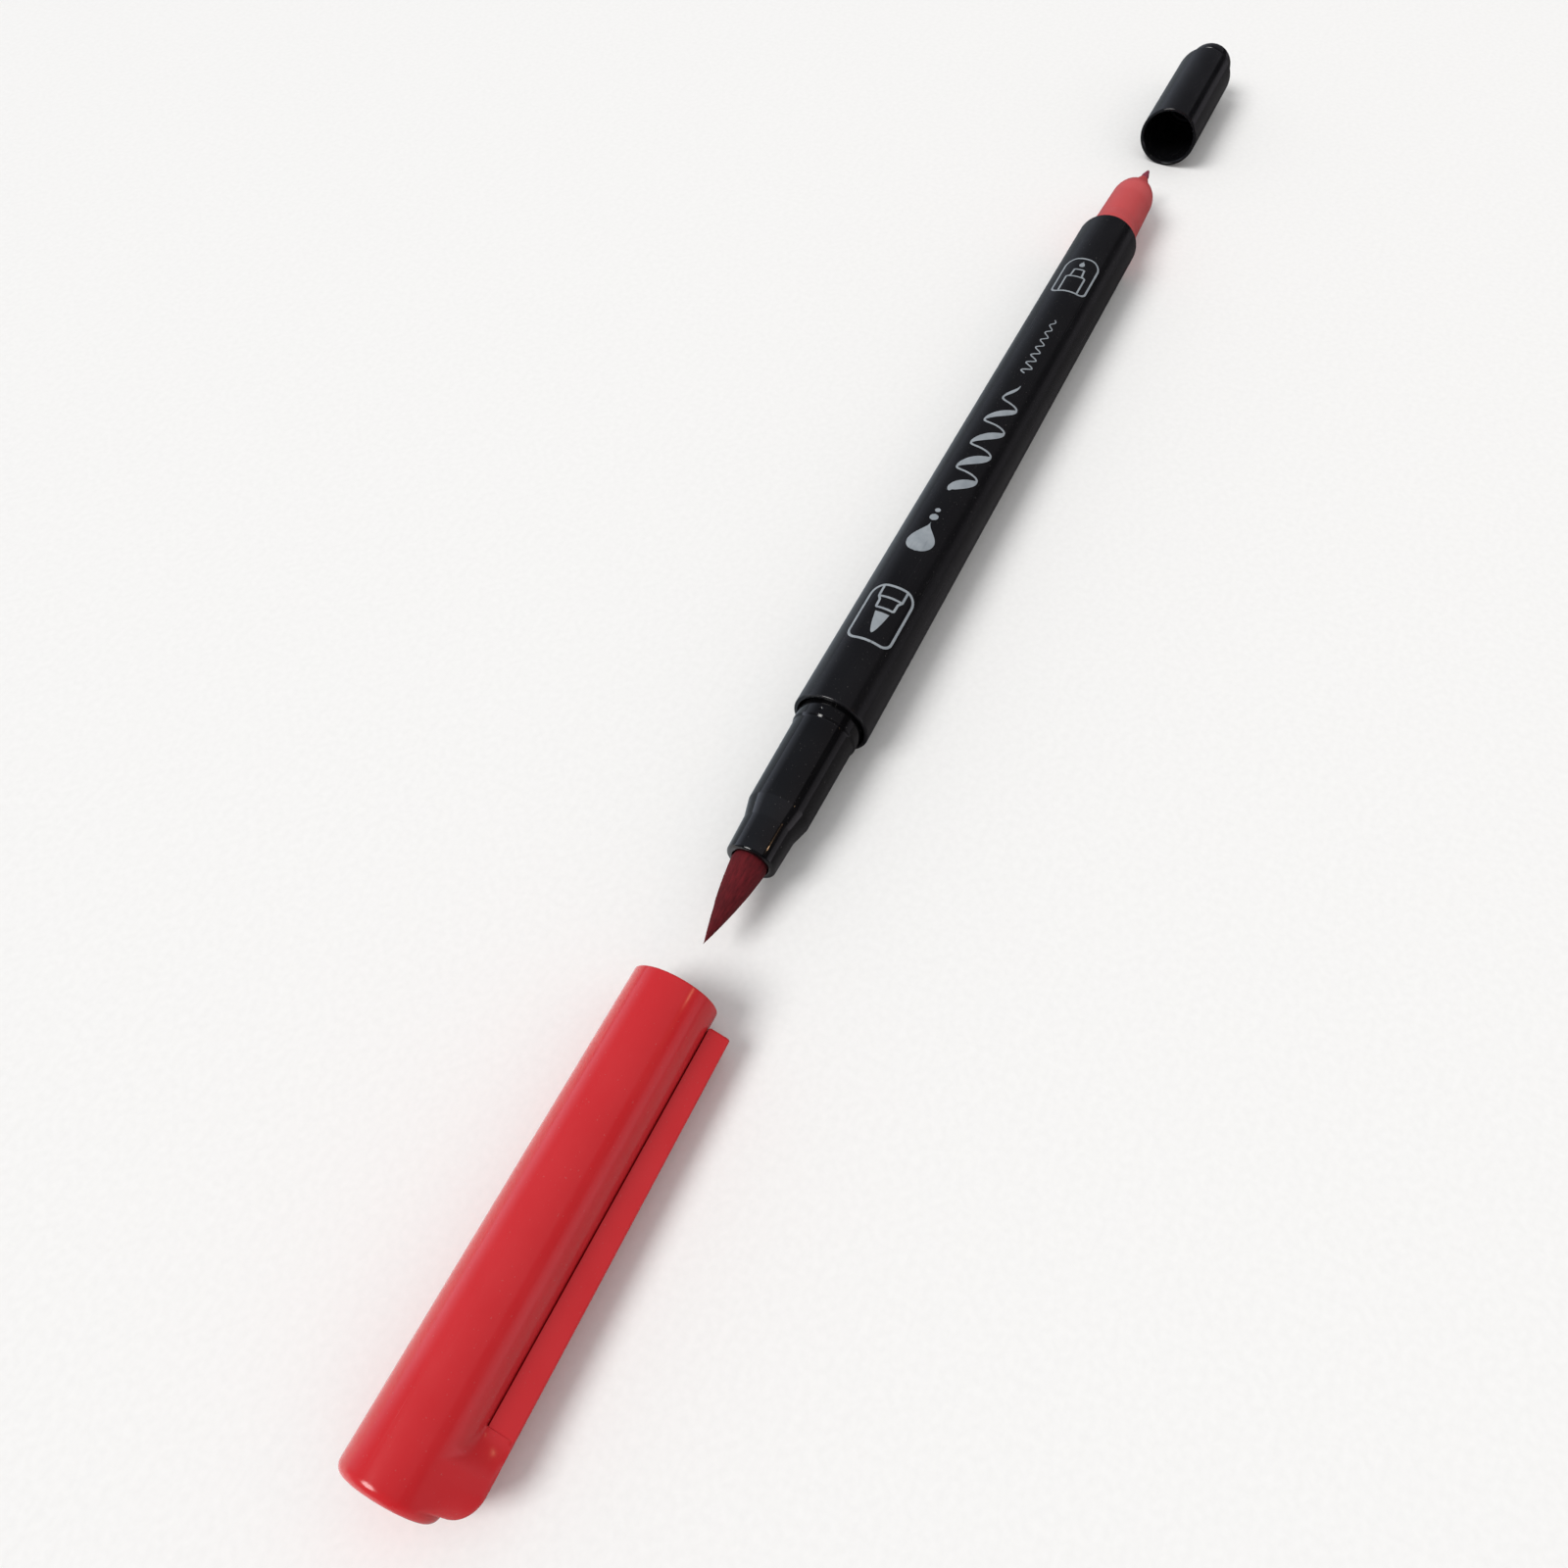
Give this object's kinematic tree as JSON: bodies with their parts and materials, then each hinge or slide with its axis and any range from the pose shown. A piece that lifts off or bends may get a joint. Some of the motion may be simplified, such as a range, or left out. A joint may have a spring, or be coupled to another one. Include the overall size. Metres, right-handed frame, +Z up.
{
  "type": "dual-tip brush pen",
  "caption": "Round felt brush pen with a bending brush tip and a fine fibre tip, a long clip cap and a short stepped cap, both shown pulled off in line.",
  "frame": {"origin": "centre of the brush cap's closed end, on the pen's axis, with the cap pulled off in line", "axes": "+X along the pen's axis, from the brush cap towards the fine cap; +Z up as the pen lies on a table at z = -0.005; the pocket clip hangs towards -Y"},
  "size_m": [0.2619, 0.0128, 0.01],
  "materials": {
    "barrel_black": "satin-gloss moulded polypropylene with pale grey-blue pad-printed marks",
    "section_black": "high gloss",
    "brush_fibre": "dark red ink-soaked bonded fibre, matt",
    "section_coral": "coral red, satin",
    "fine_fibre": "hard bonded fibre stained purple-red",
    "wadding": "polyester fibre soaked in red ink",
    "film": "thin clear film",
    "cap_red": "glossy red polypropylene",
    "liner_natural": "natural polyethylene",
    "cap_black": "glossy black polypropylene",
    "liner_black": "satin dark grey polyethylene"
  },
  "bodies": {
    "pen": {"barrel": "barrel_black", "brush_section": "section_black", "brush_nib_shank": "brush_fibre", "fine_section": "section_coral", "fine_nib": "fine_fibre", "ink_reservoir": "wadding", "reservoir_film": "film"},
    "brush_tip": {"brush_nib": "brush_fibre"},
    "brush_cap": {"brush_cap": "cap_red", "brush_cap_liner": "liner_natural"},
    "clip": {"brush_cap_clip": "cap_red"},
    "fine_cap": {"fine_cap": "cap_black", "fine_cap_liner": "liner_black"}
  },
  "joints": [
    {"name": "brush_cap_slide", "type": "slide", "parent": "pen", "child": "brush_cap", "axis": [1, 0, 0], "range_m": [0, 0.03835]},
    {"name": "fine_cap_slide", "type": "slide", "parent": "pen", "child": "fine_cap", "axis": [-1, 0, 0], "range_m": [0, 0.0357]},
    {"name": "clip_flex", "type": "hinge", "parent": "brush_cap", "child": "clip", "pos_m": [0.0086, -0.0064, -0.00236], "axis": [0, 0.3456, -0.9384], "range_deg": [0, 3.5], "stiffness_Nm_per_rad": 0.11},
    {"name": "brush_flex", "type": "hinge", "parent": "pen", "child": "brush_tip", "pos_m": [0.0676, 0, 0], "axis": [0, 1, 0], "range_deg": [-10, 10], "stiffness_Nm_per_rad": 0.0003}
  ]
}
